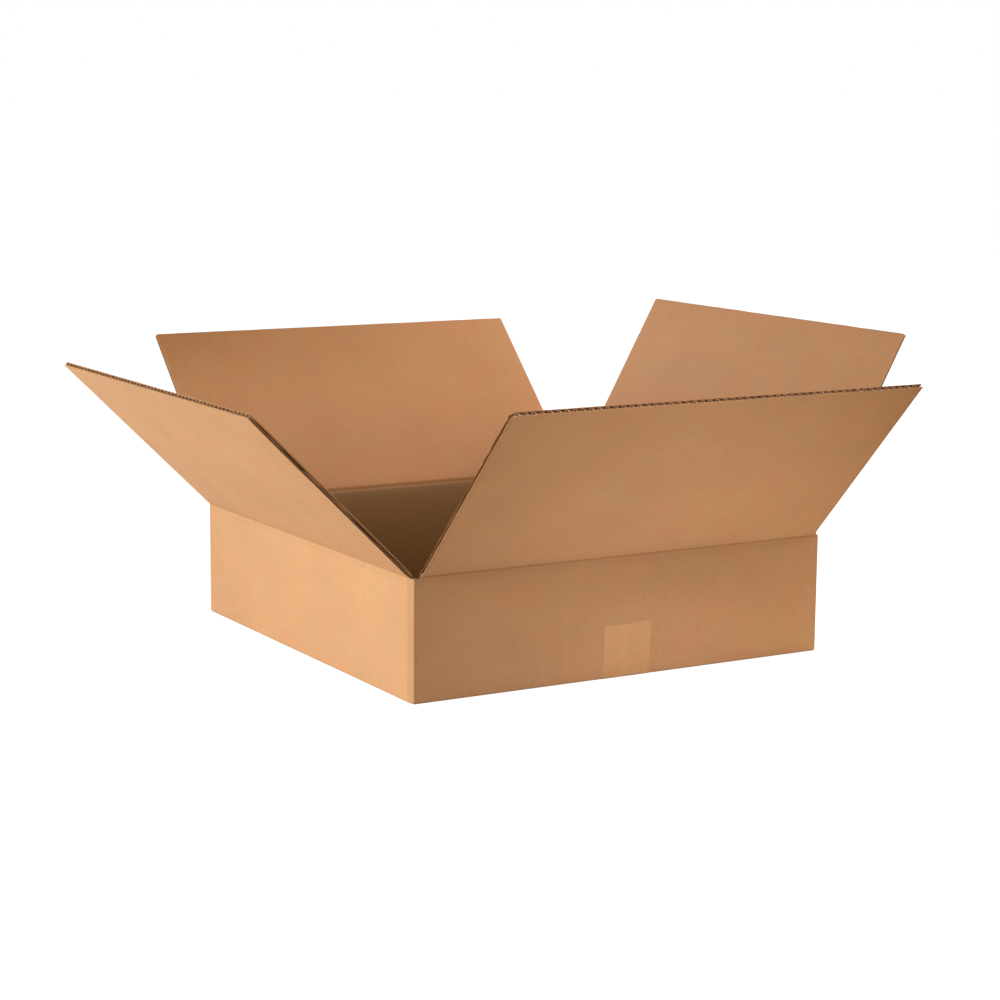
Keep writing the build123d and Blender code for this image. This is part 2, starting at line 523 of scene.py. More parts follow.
def add_fluting(pile, place, across, along, start, tone=1.0):
    """Waved paper: depth = board / 2 - height * cos(2 pi * place / pitch).

    place is measured along the flat sheet, so that the waves run on from the
    walls into the flaps. The paper's thickness is measured across its slope.
    """
    size = sizes()
    height = size.board / 2 - size.liner - size.fluting / 2 + fluting_overlap
    turns = 2 * pi * (across + start) / size.flute_pitch
    middle = size.board / 2 - height * np.cos(turns)
    slope = 2 * pi * height / size.flute_pitch * np.sin(turns)
    half = size.fluting / 2 * np.sqrt(1 + slope**2)
    sheet = sheet_grid(across + start, along, fluting_shift)
    near, far = (place(across, along, middle + side * half) for side in (-1, 1))
    pile.add(near, far, sheet, fluting_finish, tone)


def wave_columns(low, high, start):
    """Places from low to high, with the same number in each wave, in step with the waves."""
    step = sizes().flute_pitch / columns_per_wave
    first = np.ceil((low + start) / step + least_step) * step - start
    inner = np.arange(first, high - least_step * step, step)
    return np.concatenate([[low], inner, [high]])


def rounded_band(corners, outer_radii, inner_radii, thickness):
    """A strip of even thickness that follows a path of straight runs.

    corners are the path's points on its outer side. At each bend the outer
    and the inner line have an arc of their own: centre - radius * normal,
    with the normal turning from one run's to the next one's. Returns the
    places along the strip, its outer points and its inner points.
    """
    corners = np.array(corners)
    runs = np.diff(corners, axis=0)
    heading = runs / np.linalg.norm(runs, axis=1, keepdims=True)
    inward = np.stack([-heading[:, 1], heading[:, 0]], axis=1)
    before, after = heading[:-1], heading[1:]
    turn = np.arccos(np.clip((before * after).sum(axis=1), -1, 1))
    half = np.tan(turn / 2)[:, None]
    outer_corner = corners[1:-1]
    bend = (inward[:-1] + inward[1:]) / (1 + np.cos(turn))[:, None]
    inner_corner = outer_corner + thickness * bend

    def arcs(corner, radius):
        radius = np.array(radius)[:, None]
        centre = corner - before * radius * half + inward[:-1] * radius
        angle = turn[:, None] * np.linspace(0, 1, arc_steps)
        normal = inward[:-1, None] * np.cos(angle)[..., None] - before[:, None] * np.sin(angle)[..., None]
        return centre[:, None] - radius[:, None] * normal

    margin = (thickness + np.array(inner_radii)[:, None]) * half + bend_margin
    enter = (outer_corner - before * margin)[:, None]
    leave = (outer_corner + after * margin)[:, None]
    enter_in = enter + thickness * inward[:-1, None]
    leave_in = leave + thickness * inward[1:, None]
    outer = np.concatenate([enter, arcs(outer_corner, outer_radii), leave], axis=1).reshape(-1, 2)
    inner = np.concatenate([enter_in, arcs(inner_corner, inner_radii), leave_in], axis=1).reshape(-1, 2)
    first, last = corners[:1], corners[-1:]
    outer = np.concatenate([first, outer, last])
    inner = np.concatenate([first + thickness * inward[:1], inner, last + thickness * inward[-1:]])
    middle = (outer + inner) / 2
    lengths = np.linalg.norm(np.diff(middle, axis=0), axis=1)
    return np.concatenate([[0.0], np.cumsum(lengths)]), outer, inner


def between(stations, outer, inner, along, share):
    """Point at a place along a band, share of the way from outside to inside."""
    sides = []
    for part in (0, 1):
        near = np.interp(along, stations, outer[:, part])
        far = np.interp(along, stations, inner[:, part])
        sides.append(near + (far - near) * share)
    return sides


# The glued lap: its width, how far its upper edge stays below the crease's
# bevel, the heights of its lower and upper edge at the fold, and how far each
# edge slopes towards the lap's free end
lap_width = 0.035
lap_clearance = 0.0015
lap_low = 0.0098
lap_high = crease_height - board_default - lap_clearance
lap_taper = 0.008
# The near corner: how early the board first turns, and by how much, and the
# radii of its early and its sharp bend
near_corner_run = 0.0095
near_corner_turn = radians(8.0)
near_corner_outside = [0.006, 0.0009]
near_corner_inside = [0.002, 0.0008]


def wall_plan():
    """The walls as one band: the lap, right, back, left and front walls.

    The lap starts inside the front wall. At the front left corner the board
    first turns a little, about a centimetre early, and then sharply.
    """
    size = sizes()
    reach = wall_reach
    behind = reach - size.board
    early = near_corner_run * tan(near_corner_turn)
    corners = [
        (behind - lap_width, -behind),
        (reach, -behind),
        (reach, reach),
        (-reach, reach),
        (-reach, -reach + near_corner_run),
        (-reach + early, -reach),
        (reach, -reach),
    ]
    outer_radii = [size.fold_outside] * 3 + near_corner_outside
    inner_radii = [size.fold_inside] * 3 + near_corner_inside
    return rounded_band(corners, outer_radii, inner_radii, size.board)


def near_corner(plan):
    """Places of the near corner's early and sharp bends, at the middle of their arcs."""
    middles = plan[0][2 + arc_steps // 2 :: arc_steps + 2]
    return middles[3], middles[4]


def side_starts(plan):
    """For each side: what to add to a place along the wall to get its place on the sheet."""
    stations, outer, _ = plan
    starts = {}
    for number, side in ((0, "right"), (1, "back"), (2, "left"), (4, "front")):
        last = (number + 1) * (arc_steps + 2)
        along = Side(side).along
        starts[side] = stations[last] - outer[last] @ along[:2]
    return starts


def bell(value, width):
    """1 at zero, falling to 0 on both sides: exp(-(value / width) squared)."""
    return np.exp(-((value / width) ** 2))


def smooth(value, low, high):
    """0 at low, 1 at high and smooth between: 3 t squared - 2 t cubed."""
    share = np.clip((value - low) / (high - low), 0, 1)
    return share * share * (3 - 2 * share)


# Half widths of the score line's dents on the outside and on the inside
outer_dent_width, inner_dent_width = 0.0016, 0.0013


class Side:
    """One side of the carton and its top flap, as the frame gives them."""

    def __init__(self, name):
        self.name = name
        self.flap = name + "_flap"
        joint = joints[self.flap]
        self.along = np.array(joint["axis"], dtype=float)
        self.outward = np.cross(self.along, (0.0, 0.0, 1.0))
        self.lean = radians(-90.0 - joint["range_deg"][0])
        board = sizes().board
        pivot = np.array(joint["pos_m"])
        self.pivot_depth = wall_reach - pivot @ self.outward
        self.pivot_height = pivot[2] - crease_height
        low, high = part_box(self.flap)
        ends = sorted((np.array(low) @ self.along, np.array(high) @ self.along))
        self.low, self.high = ends
        inner_offset = board - self.pivot_depth
        self.depth = (high.z - pivot[2] - inner_offset * sin(self.lean)) / cos(self.lean)

    def point(self, across, depth, height):
        """Point in the row frame: along the wall, in from its outer face, up from the crease."""
        flat = np.broadcast_arrays(across, wall_reach - depth, crease_height + height)
        across, out, up = (part[..., None] for part in flat)
        return across * self.along + out * self.outward + up * np.array((0.0, 0.0, 1.0))

    def flap_end(self):
        """Place of the flap's free edge on the middle line of the board."""
        offset = sizes().board / 2 - self.pivot_depth
        bend = sizes().crease_radius * self.lean / 2
        tangent = sizes().crease_radius * tan(self.lean / 2)
        return self.depth + offset * tan(self.lean / 2) - tangent + bend

    def wall_start(self):
        """Place of the piece's lower edge on the middle line of the board."""
        bend = sizes().crease_radius * self.lean / 2
        tangent = sizes().crease_radius * tan(self.lean / 2)
        return -sizes().crease_margin - self.meeting_height() + tangent - bend

    def meeting_height(self):
        """Height where the middle lines of the wall and of the flap meet."""
        return self.pivot_height + (sizes().board / 2 - self.pivot_depth) * tan(self.lean / 2)

    def place(self, across, along, depth):
        """Point of the board round the crease.

        along runs on the board's middle line from the bend's centre: straight
        up the wall, round an arc and straight up the leaning flap. depth goes
        in from the outer face, across the line. At the score line the board
        is dented from both sides by a bell curve.
        """
        size = sizes()
        radius = size.crease_radius
        bend = radius * self.lean
        turn = np.clip(along / bend + 0.5, 0, 1) * self.lean
        beyond = np.maximum(along - bend / 2, 0)
        below = np.minimum(along + bend / 2, 0)
        tangent = radius * tan(self.lean / 2)
        middle = size.board / 2 - radius * (1 - np.cos(turn)) - sin(self.lean) * beyond
        height = self.meeting_height() - tangent + below + radius * np.sin(turn) + cos(self.lean) * beyond
        outer_dent = size.outer_dent * bell(along, outer_dent_width)
        inner_dent = size.inner_dent * bell(along, inner_dent_width)
        squeeze = 1 - (outer_dent + inner_dent) / size.board
        inset = outer_dent + depth * squeeze - size.board / 2
        return self.point(across, middle + np.cos(turn) * inset, height + np.sin(turn) * inset)


def wander(random, places, spacing):
    """A line of random values from 0 to 1, spaced out and joined by straight runs."""
    low, high = places[0], places[-1]
    knots = np.linspace(low, high, max(int((high - low) / spacing), 2))
    return np.interp(places, knots, random.random(len(knots)))


# A side edge is ragged from this place on the flap, and fully so from this much further on
ragged_from, ragged_run = 0.002, 0.006
# The least of a side's cut, as a share of the most
least_cut = 0.4
# How far in from a side, and in from the free edge, the cuts move the board's points
side_fade, end_fade = 0.003, 0.02


def cut_grid(columns, rows, random, side_cuts, side_spacing, end_cut, end_spacing, clips):
    """Grid of a flap whose two side edges and free edge are a little ragged.

    Near a side, a column moves in by a random line that fades over some
    millimetres. Near the free edge, a row moves down in the same way, and by
    the clipped corners. Cuts and clips are given for the left and right ends.
    """
    across, along = np.meshgrid(columns, rows)
    on_flap = np.clip((rows - ragged_from) / ragged_run, 0, 1)
    left, right = (
        (least_cut + (1 - least_cut) * wander(random, rows, side_spacing)) * cut * on_flap
        for cut in side_cuts
    )
    from_left = columns - columns[0]
    from_right = columns[-1] - columns
    across = across + left[:, None] * np.exp(-from_left / side_fade)
    across = across - right[:, None] * np.exp(-from_right / side_fade)
    near_end = np.clip((rows - rows[-1]) / end_fade + 1, 0, 1)
    cut = wander(random, columns, end_spacing) * end_cut
    cut += np.clip(clips[0] - from_left, 0, None) + np.clip(clips[1] - from_right, 0, None)
    return across, along - near_end[:, None] * cut


# One end of a top flap: its clipped corner, how far the liners gape (+) or
# are pinched (-) as a share of the board, how far the outer liner, the inner
# liner and the waved paper are cut back, and how much painted shade darkens
# the liners' cut edges
FlapEnd = namedtuple("FlapEnd", "clip gape outer_cut inner_cut core_cut outer_edge inner_edge")
# The left and the right end of each top flap, as seen from outside
flap_ends = {
    "front": (
        FlapEnd(0.004, 0, 0.0011, 0.0016, 0.0026, 0.2, 0.65),
        FlapEnd(0.0008, -0.2, 0.0004, 0.0002, 0.0006, 0.2, 0),
    ),
    "left": (
        FlapEnd(0.0003, 0, 0.0002, 0.0002, 0.0004, 0, 0),
        FlapEnd(0.0014, 0.32, 0.0004, 0.0005, 0.0026, 0.1, 0.35),
    ),
    "back": (
        FlapEnd(0.0012, -0.5, 0.0004, 0.0004, 0.001, 0, 0),
        FlapEnd(0.001, -0.5, 0.0004, 0.0004, 0.001, 0, 0),
    ),
    "right": (
        FlapEnd(0.001, -0.92, 0.0004, 0.0002, 0.0024, 0, 0),
        FlapEnd(0.0014, 0, 0.0004, 0, 0.0014, 0, 0),
    ),
}
# How far a gape and a pinch reach in from the flap's end
gape_reach, pinch_reach = 0.0022, 0.0009
# Painted light and shade, as a tone of the paper, at each top flap's left
# root, right root, left end and right end
corner_light_and_shade = {
    "front": (0.92, 0.99, 0.79, 0.6),
    "left": (1.15, 1.0, 1.15, 0.92),
    "back": (1.15, 1.3, 1.1, 0.66),
    "right": (0.88, 1.24, 0.86, 1.08),
}
# How much painted light brightens each top flap half way along
middle_painted_light = {"front": 0.24, "left": 0, "back": 0, "right": 0}
# Painted light and shade on the waved paper and on the liners' edges in the mouths along the free edge: above
# 1 lighter, below 1 darker
mouth_light_and_shade = {"front": (2.0, 1.15), "left": (1.0, 0.85), "back": (1.0, 0.85), "right": (1.0, 0.85)}


def fold_painted_shade(plan, across):
    """Painted shade on the outer liner along the walls: darker beside the near corner and the raw edge."""
    early, sharp = near_corner(plan)
    band = smooth(across, early - 0.0015, early + 0.002) * (across < sharp)
    beyond = bell(across - sharp - 0.0004, 0.0012) * (across > sharp - 0.0002)
    raw_edge = np.exp(-(plan[0][-1] - across) / 0.0012)
    past_corner = np.where(across > sharp, np.exp(-np.maximum(across - sharp, 0) / 0.06), 0)
    return 1 - 0.13 * band - 0.06 * beyond - 0.06 * raw_edge - 0.07 * past_corner


# Painted light on the front wall, lighter in its middle and in a patch low on
# its right: how much, how wide, and for the patch how far from the middle and
# how fast it fades upwards
middle_light, middle_width = 0.15, 0.13
patch_light, patch_width, patch_place, patch_rise = 0.15, 0.15, 0.06, 1.4
# How much painted shade darkens it at its top, and how much painted light brightens it for each metre to the
# right
top_shade, rightward_light = 0.11, 0.12


def front_painted_light(place, height):
    """Painted light and shade on the front wall at a place from its middle and a height from 0 to 1: how much
    lighter it is.
    """
    middle = middle_light * bell(place, middle_width)
    low_patch = patch_light * bell(place - patch_place, patch_width) * np.clip(1 - patch_rise * height, 0, 1)
    return middle + low_patch - top_shade * height**2 + rightward_light * place


# Where the gape and the pinch of a flap's end start from the crease, over how
# far they grow, and over how far a gape closes again before the free edge
gape_start, gape_run, gape_close = 0.002, 0.01, 0.03
# At the raw edge: where the flap's foot has narrowed to the flap, from the
# crease, and how far in from its side that is felt
foot_start, foot_end, foot_reach = -0.0005, 0.0036, 0.012
# Where the wall's tone starts to turn to the flap's, and over how far
tone_turn_start, tone_turn = -0.008, 0.02
# Over how far from the crease the painted shade of the cut edges grows
edge_shade_run = 0.003
# How far the painted shade reaches in from the free edge, and on the side
# edges its plain part, its fading part and the length of one patch
free_edge_fade, side_edge_shade, side_edge_shade_fade, edge_shade_patch = 0.0007, 0.0015, 0.0012, 0.006
# The painted shadow band under a crease and the painted highlight line in it:
# how strong, how far below the crease and how wide
under_crease_shadow, under_crease_highlight = (0.07, 0.004, 0.003), (0.04, 0.0035, 0.001)
# The light on the top of the wall's inside: how strong, how far below the
# crease it is full, and how far down it fades
rim_light, rim_start, rim_fade = 0.35, 0.002, 0.005
# How far in from the free edge the mouths' painted light starts and is full
mouth_start, mouth_full = 0.02, 0.006
# How much of the side edges' painted shade the waved paper takes, and how far in
wave_edge_shade, wave_edge_shade_fade = 0.6, 0.005
# First number of the flaps' random draws
first_seed = 11


def stripe(along, strength, below, width):
    """A line across the board below its crease: strength * bell(along + below)."""
    return strength * bell(along + below, width)


def flap_piece(side, start, plan):
    """A top flap with the top of its wall: two liners and the fluting between them."""
    size = sizes()
    pile = Pile()
    random = np.random.default_rng(side_names.index(side.name) + first_seed)
    low, high = side.low, side.high
    end = side.flap_end()
    foot = side.wall_start()
    crease_rows = np.arange(-0.005, 0.011, 0.0005)
    flap_rows = np.linspace(0.014, end - 0.006, 50)
    free_rows = end - np.array([0.0025, 0.0012, 0.0006, 0.0])
    rows = np.concatenate([[foot, -0.0065], crease_rows, flap_rows, free_rows])
    near_edge = np.array([0.0, 0.0004, 0.0008, 0.0012, 0.0018, 0.0024, 0.0035, 0.005, 0.008])
    middle_columns = np.linspace(low + 0.014, high - 0.014, 30)
    columns = np.concatenate([low + near_edge, middle_columns, high - near_edge[::-1]])
    clips, gapes, outer_cuts, inner_cuts, core_cuts, outer_edges, inner_edges = zip(*flap_ends[side.name])
    mouth, free_edge = mouth_light_and_shade[side.name]
    # The front flap's side edges are the most finely ragged
    spacing = 0.007 if side.name == "front" else 0.02
    # At the raw edge the crease runs on to the end of the front wall
    foot_high = plan[0][-1] - start if side.name == "front" else high
    # Heights above the floor that the wall below would have on the flat sheet
    rise = crease_height - size.crease_margin - foot

    def widened(across, along):
        """Places across, with the foot of the flap as wide as its wall at the raw edge."""
        spread = (foot_high - high) * (1 - smooth(along, foot_start, foot_end))
        return across + spread * smooth(across, high - foot_reach, high)

    def on_sheet(across, along, depth):
        """Board of the flap. Its foot follows the wall's folds at both ends."""
        place = along - rise
        across = widened(across, place)
        x, y = between(*plan, across + start, depth / size.board)
        flat = side.point(across, depth, 0.0)
        folded = np.stack([x - flat[..., 0], y - flat[..., 1], np.zeros_like(x)], axis=-1)
        on_wall = 1 - smooth(place, -size.slot_drop, 0.0005)
        gape = 0
        for gap, away in zip(gapes, (across - low, high - across)):
            reach = gape_reach if gap > 0 else pinch_reach
            near = np.exp(-np.maximum(away, 0) / reach) * np.clip((place - gape_start) / gape_run, 0, 1)
            gape = gape + gap * near * (np.clip((end - place) / gape_close, 0, 1) if gap > 0 else 1)
        depth = size.board / 2 + (depth - size.board / 2) * (1 + gape)
        return side.place(across, place, depth) + on_wall[..., None] * folded

    def liner_light_and_shade(across, along, groove_shade, width, edges):
        """Painted light and shade of a liner: painted shade in the score line and, unevenly, at the cut
        edges.
        """
        on_flap = np.clip(along / edge_shade_run, 0, 1)
        foot_tone = 1 + front_painted_light(across, 1.0) if side.name == "front" else 1
        x = np.clip((across - low) / (high - low), 0, 1)
        y = np.clip(along / end, 0, 1)
        # Painted light and shade that changes from corner to corner of the flap
        left_root, right_root, left_end, right_end = corner_light_and_shade[side.name]
        even = (left_root * (1 - x) + right_root * x) * (1 - y) + (left_end * (1 - x) + right_end * x) * y
        # 4 x (1 - x) is 1 half way along and 0 at both ends
        even = even + middle_painted_light[side.name] * 4 * x * (1 - x)
        even = foot_tone + (even - foot_tone) * np.clip((along - tone_turn_start) / tone_turn, 0, 1)
        tone = even * (1 - groove_shade * bell(along, width))
        tone = tone * (1 + (free_edge - 1) * on_flap * np.exp(-np.maximum(end - along, 0) / free_edge_fade))
        for dark, away in zip(edges, (across - low, high - across)):
            uneven = 0.5 + 0.5 * wander(random, rows, edge_shade_patch)[:, None]
            reach = np.exp(-np.maximum(away - side_edge_shade, 0) / side_edge_shade_fade)
            tone = tone * (1 - dark * uneven * on_flap * reach)
        return tone

    cuts = {"end_cut": 0.0002, "end_spacing": 0.012, "clips": clips}
    across, along = cut_grid(columns, rows, random, outer_cuts, spacing, **cuts)
    # Painted shadow under the crease, with a painted highlight line in it
    under = 1 - stripe(along, *under_crease_shadow) + stripe(along, *under_crease_highlight)
    on_wall = 1 - smooth(along, -0.001, 0.001)
    folds = 1 + on_wall * (fold_painted_shade(plan, widened(across, along) + start) - 1)
    tone = liner_light_and_shade(across, along, groove_shade=0.17, width=0.0018, edges=outer_edges) * under * folds
    add_outer_liner(pile, on_sheet, across, along + rise, start, tone)
    cuts = {"end_cut": 0.0003, "end_spacing": 0.012, "clips": clips}
    across, along = cut_grid(columns, rows, random, inner_cuts, spacing, **cuts)
    # The top of the wall's inside catches more light than the shaded rest of it
    fading = np.exp(np.minimum(along + rim_start, 0) / rim_fade)
    lit_rim = 1 + rim_light * fading * smooth(-along, 0.0, rim_start)
    tone = liner_light_and_shade(across, along, groove_shade=0.26, width=0.0012, edges=inner_edges) * lit_rim
    add_inner_liner(pile, on_sheet, across, along + rise, start, tone)
    # The waved paper ends a little inside the liners
    wave_inset = 0.0003
    wave_flap_rows = np.linspace(0.016, end - wave_inset, 30)
    wave_rows = np.concatenate([[foot], np.arange(-0.004, 0.0101, 0.001), wave_flap_rows])
    wave = wave_columns(low + wave_inset, high - wave_inset, start)
    cuts = {"side_spacing": 0.009, "end_cut": 0.0007, "end_spacing": 0.004, "clips": clips}
    across, along = cut_grid(wave, wave_rows, random, core_cuts, **cuts)
    # Painted light on the waved paper in the mouths along the free edge
    tone = 1 + (mouth - 1) * smooth(along, end - mouth_start, end - mouth_full)
    # Painted shade on the waved paper near the darkened side edges
    for dark, away in zip(inner_edges, (across - low, high - across)):
        tone = tone * (1 - wave_edge_shade * dark * np.exp(-np.maximum(away, 0) / wave_edge_shade_fade))
    add_fluting(pile, on_sheet, across, along + rise, start, tone)
    piece = pile.build(side.flap + "_board", board_materials())
    # Points on the board 5 mm below the pivot, at the pivot and 9 mm up the flap; nothing uses them
    below = side.point(0.0, size.board / 2, side.pivot_height - 0.005)
    pivot = side.point(0.0, side.pivot_depth, side.pivot_height)
    up_flap = side.outward * sin(side.lean) + np.array((0.0, 0.0, cos(side.lean)))
    tuple(pivot + 0.009 * up_flap)
    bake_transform(piece)
    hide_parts(side.flap)


# How far the waved paper stays inside the walls' raw and lower edges, and
# inside the side edges of the lap and of the bottom flaps
wall_wave_inset, flap_wave_inset = 0.0012, 0.0006


class CARTON_OT_walls(bpy.types.Operator):
    """Make the four walls and the glued lap"""

    bl_idname = "carton.walls"
    bl_label = "Walls and lap"

    def execute(self, context):
        size = sizes()
        plan = wall_plan()
        stations, outer, inner = plan
        starts = side_starts(plan)
        pile = Pile()
        rim_height = crease_height - size.crease_margin
        slot_height = crease_height - size.slot_drop
        lap_end = stations[1]
        total = stations[-1]
        underside = size.tape_film

        def upright(across, along, depth):
            x, y = between(stations, outer, inner, across, depth / size.board)
            return np.stack(np.broadcast_arrays(x, y, along), axis=-1)

        def rounded(across, along, depth):
            """The outer liner: straight down, round the bottom edge and under it."""
            radius = size.bottom_radius
            angle = np.clip((radius - along) / radius, 0, pi / 2)
            under = np.maximum(-along - radius * (pi / 2 - 1), 0)
            inset = radius - (radius - depth) * np.cos(angle) + under
            height = np.maximum(along, radius) - (radius - depth) * np.sin(angle)
            lift = underside * np.clip(1 - height / radius, 0, 1)
            x, y = between(stations, outer, inner, across, inset / size.board)
            return np.stack(np.broadcast_arrays(x, y, height + lift), axis=-1)

        # More columns round the near corner and along the front wall, where the tone changes
        early, sharp = near_corner(plan)
        corner_columns = np.linspace(early - 0.004, sharp + 0.004, 24)
        front_columns = np.linspace(sharp + 0.015, total - 0.01, 24)
        raw_edge_columns = total - np.array([0.003, 0.0015, 0.0007])
        extra = np.concatenate([corner_columns, front_columns])
        inside = np.union1d(stations[(stations > lap_end) & (stations < total)], extra)
        inside = np.union1d(inside, raw_edge_columns)
        columns = np.concatenate([[lap_end], inside, [total]])
        arc = size.bottom_radius * (1 - np.linspace(pi / 2, 0, 7))
        flat_end = arc[0] - (size.board - size.bottom_radius)
        wall_rows = [0.02, 0.035, 0.05, 0.065, 0.08, 0.095, rim_height]
        rows = np.concatenate([[flat_end], arc, wall_rows])
        across, along = np.meshgrid(columns, rows)
        height = np.clip(along / crease_height, 0, 1)
        lighter = front_painted_light(across - starts["front"], height) * (across > sharp)
        add_outer_liner(pile, rounded, across, along, 0.0, fold_painted_shade(plan, across) + lighter)
        rim_rows = rim_height - np.array([0.02, 0.01, 0.006, 0.003, 0.0])
        across, along = np.meshgrid(columns, np.concatenate([[0.0006, 0.03, 0.06], rim_rows]))
        # The inside is shaded below, and catches light at its rim
        tone = 0.66 + 0.34 * along / rim_height + 0.1 * np.exp((along - rim_height) / rim_fade)
        add_inner_liner(pile, upright, across, along, 0.0, tone)
        wave = wave_columns(lap_end, total - wall_wave_inset, 0.0)
        across, along = np.meshgrid(wave, np.array([wall_wave_inset, rim_height]))
        add_fluting(pile, upright, across, along, 0.0)

        # Tops of the walls at the corners, between the top flaps
        sides = {name: Side(name) for name in side_names}
        right, back, left, front = (
            (starts[name] + sides[name].low, starts[name] + sides[name].high)
            for name in ("right", "back", "left", "front")
        )
        heights = np.array([rim_height, slot_height])
        gaps = [(lap_end, right[0]), (right[1], back[0]), (back[1], left[0]), (left[1], front[0])]
        for first, last in gaps:
            inside = np.union1d(stations, extra)
            inside = inside[(inside > first) & (inside < last)]
            columns = np.concatenate([[first], inside, [last]])
            across, along = np.meshgrid(columns, heights)
            lighter = front_painted_light(across - starts["front"], 1.0) * (across > sharp)
            add_outer_liner(pile, upright, across, along, 0.0, fold_painted_shade(plan, across) + lighter)
            add_inner_liner(pile, upright, across, along, 0.0)
            across, along = np.meshgrid(wave_columns(first, last, 0.0), heights)
            add_fluting(pile, upright, across, along, 0.0)

        # The lap, whose upper and lower edges slope towards its free end
        def lap_rows(columns):
            taper = lap_taper * (1 - columns / lap_width)
            low = lap_low + taper
            high = lap_high - taper
            return np.stack([low, high])

        columns = np.linspace(0, lap_end, 9)
        along = lap_rows(columns)
        across = np.broadcast_to(columns, along.shape)
        add_outer_liner(pile, upright, across, along, 0.0)
        add_inner_liner(pile, upright, across, along, 0.0)
        wave = wave_columns(flap_wave_inset, lap_end, 0.0)
        along = lap_rows(wave)
        across = np.broadcast_to(wave, along.shape)
        add_fluting(pile, upright, across, along, 0.0)

        piece = pile.build("carton_walls", board_materials())
        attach(piece, "carton")
        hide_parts("carton_body")
        return {"FINISHED"}


class CARTON_OT_bottom(bpy.types.Operator):
    """Make the four closed bottom flaps"""

    bl_idname = "carton.bottom"
    bl_label = "Bottom flaps"

    def execute(self, context):
        size = sizes()
        starts = side_starts(wall_plan())
        pile = Pile()
        seam = 0.0005
        layer_gap = 0.0003
        for name in side_names:
            side = Side(name)
            upper = name in ("front", "back")
            base = size.board + layer_gap if upper else size.tape_film
            slot = 0.004 if upper else 0.0005
            span = wall_reach - size.board - slot
            length = wall_reach - size.board - seam

            def flat(across, along, depth):
                """Board that lies inwards from the foot of its wall, outer face down."""
                squeeze = (size.board - (0 if upper else size.tape_film)) / size.board
                height = base + depth * squeeze - crease_height
                return side.point(across, size.board - along, height)

            rows = np.array([-length, -length / 2, 0.0])
            across, along = np.meshgrid(np.linspace(-span, span, 12), rows)
            add_outer_liner(pile, flat, across, along, starts[name])
            # The bottom's inner liner is made darker, 0.8, as painted shade inside the carton
            add_inner_liner(pile, flat, across, along, starts[name], 0.8)
            wave = wave_columns(-span + flap_wave_inset, span - flap_wave_inset, starts[name])
            across, along = np.meshgrid(wave, np.array([-length + 0.0004, 0.0]))
            add_fluting(pile, flat, across, along, starts[name])
        piece = pile.build("bottom_flaps", board_materials())
        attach(piece, "carton")
        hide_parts("carton_body")
        return {"FINISHED"}


class CARTON_OT_top_flaps(bpy.types.Operator):
    """Make the four top flaps, each with the crease that it bends at"""

    bl_idname = "carton.top_flaps"
    bl_label = "Top flaps"

    def execute(self, context):
        plan = wall_plan()
        starts = side_starts(plan)
        for name in side_names:
            flap_piece(Side(name), starts[name], plan)
        return {"FINISHED"}


# Teeth of the cutter that tore the tape: how deep each is and half its width
tooth_depth, tooth_half = 0.0005, 0.0016
# The step in the front end: where it is across the tape, how deep, and its slope
step_place, step_depth, step_slope = 0.004, 0.0015, 0.04
# How far the torn ends move the tape's points
torn_reach = 0.004


class CARTON_OT_tape(bpy.types.Operator):
    """Make the strip of tape that closes the bottom"""

    bl_idname = "carton.tape"
    bl_label = "Packing tape"

    def execute(self, context):
        size = sizes()
        low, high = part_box("bottom_tape")
        half_width = (high.x - low.x) / 2
        middle = (high.x + low.x) / 2
        top = high.z
        reach = wall_reach + size.tape_film
        radius = size.bottom_radius + size.tape_film
        corners = [(-reach, top), (-reach, 0.0), (reach, 0.0), (reach, top)]
        outer_radii, inner_radii = [radius] * 2, [size.bottom_radius] * 2
        stations, outer, inner = rounded_band(corners, outer_radii, inner_radii, size.tape_film)
        total = stations[-1]

        def strip(across, along, depth):
            """Down the front wall, under the bottom and up the back wall, slanted in front."""
            y, z = between(stations, outer, inner, along, depth / size.tape_film)
            front = np.clip((top - along) / top, 0, 1)
            x = middle + across + tan(size.tape_slant) * (top * front - top / 2)
            return np.stack(np.broadcast_arrays(x, y, z), axis=-1)

        columns = np.linspace(half_width, -half_width, 44)
        inside = stations[(stations > torn_reach) & (stations < total - torn_reach)]
        plain_rows = np.union1d(inside, np.linspace(0.006, total - 0.006, 60))
        torn_rows = np.array([0.0, 0.0015, 0.003])
        rows = np.concatenate([torn_rows, plain_rows, total - torn_rows[::-1]])
        across, along = np.meshgrid(columns, rows)
        # Both ends were torn on a toothed cutter, the front one with a step in it
        teeth = tooth_depth * np.abs((columns / tooth_half) % 2 - 1)
        step = np.where(columns < step_place, step_depth + step_slope * (columns - step_place), 0)
        near_start = np.clip(1 - rows / torn_reach, 0, 1)[:, None]
        near_end = np.clip(1 - (total - rows) / torn_reach, 0, 1)[:, None]
        along = along + near_start * (teeth + step) - near_end * teeth
        pile = Pile()
        near, far = strip(across, along, 0.0), strip(across, along, size.tape_film)
        pile.add(near, far, sheet_grid(across, along), 0)
        piece = pile.build("bottom_tape_strip", [found_or_made("tape_film", tape_film)])
        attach(piece, "carton")
        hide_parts("bottom_tape")
        return {"FINISHED"}


# Where the photograph was taken from, in metres and radians
camera_place = Vector((-1.20192, -2.04154, 0.53708))
camera_heading = 0.53074
camera_tilt = 0.1695
camera_roll = 0.00866


# The floor: how far it reaches each way, how far it lies below the carton, and its thickness
floor_reach, floor_drop, floor_thickness = 30.0, 0.0002, 0.05


